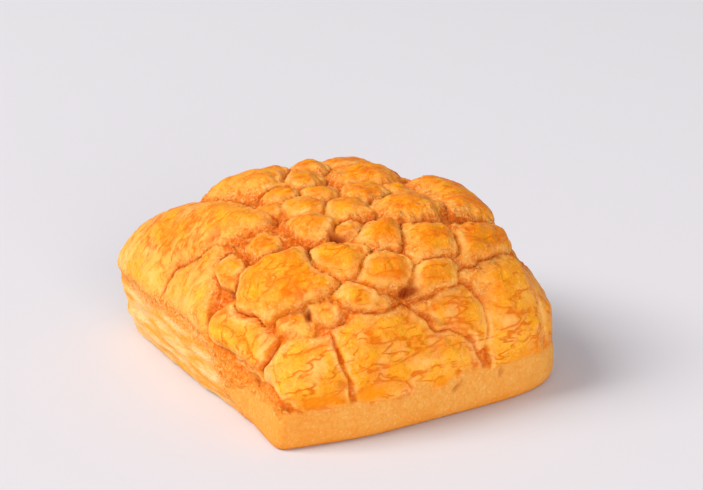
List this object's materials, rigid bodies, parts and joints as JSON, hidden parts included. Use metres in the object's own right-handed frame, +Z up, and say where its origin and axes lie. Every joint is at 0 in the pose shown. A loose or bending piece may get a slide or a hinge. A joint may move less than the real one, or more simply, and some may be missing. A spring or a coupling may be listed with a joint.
{
  "type": "pineapple bun",
  "caption": "Squarish soft bun with a domed, cracked sugar-cookie crust, two baked sides, two torn sides and a flat base.",
  "frame": {"origin": "centre of the bun's outline, on the surface it stands on", "axes": "+Z up; -Y is the baked front, +X the other baked side; -X and +Y are the torn sides"},
  "size_m": [0.1052, 0.1154, 0.0538],
  "materials": {
    "crust": "golden baked crust, matte with a faint egg-wash sheen"
  },
  "bodies": {
    "root": {"bun": "crust"}
  },
  "joints": []
}
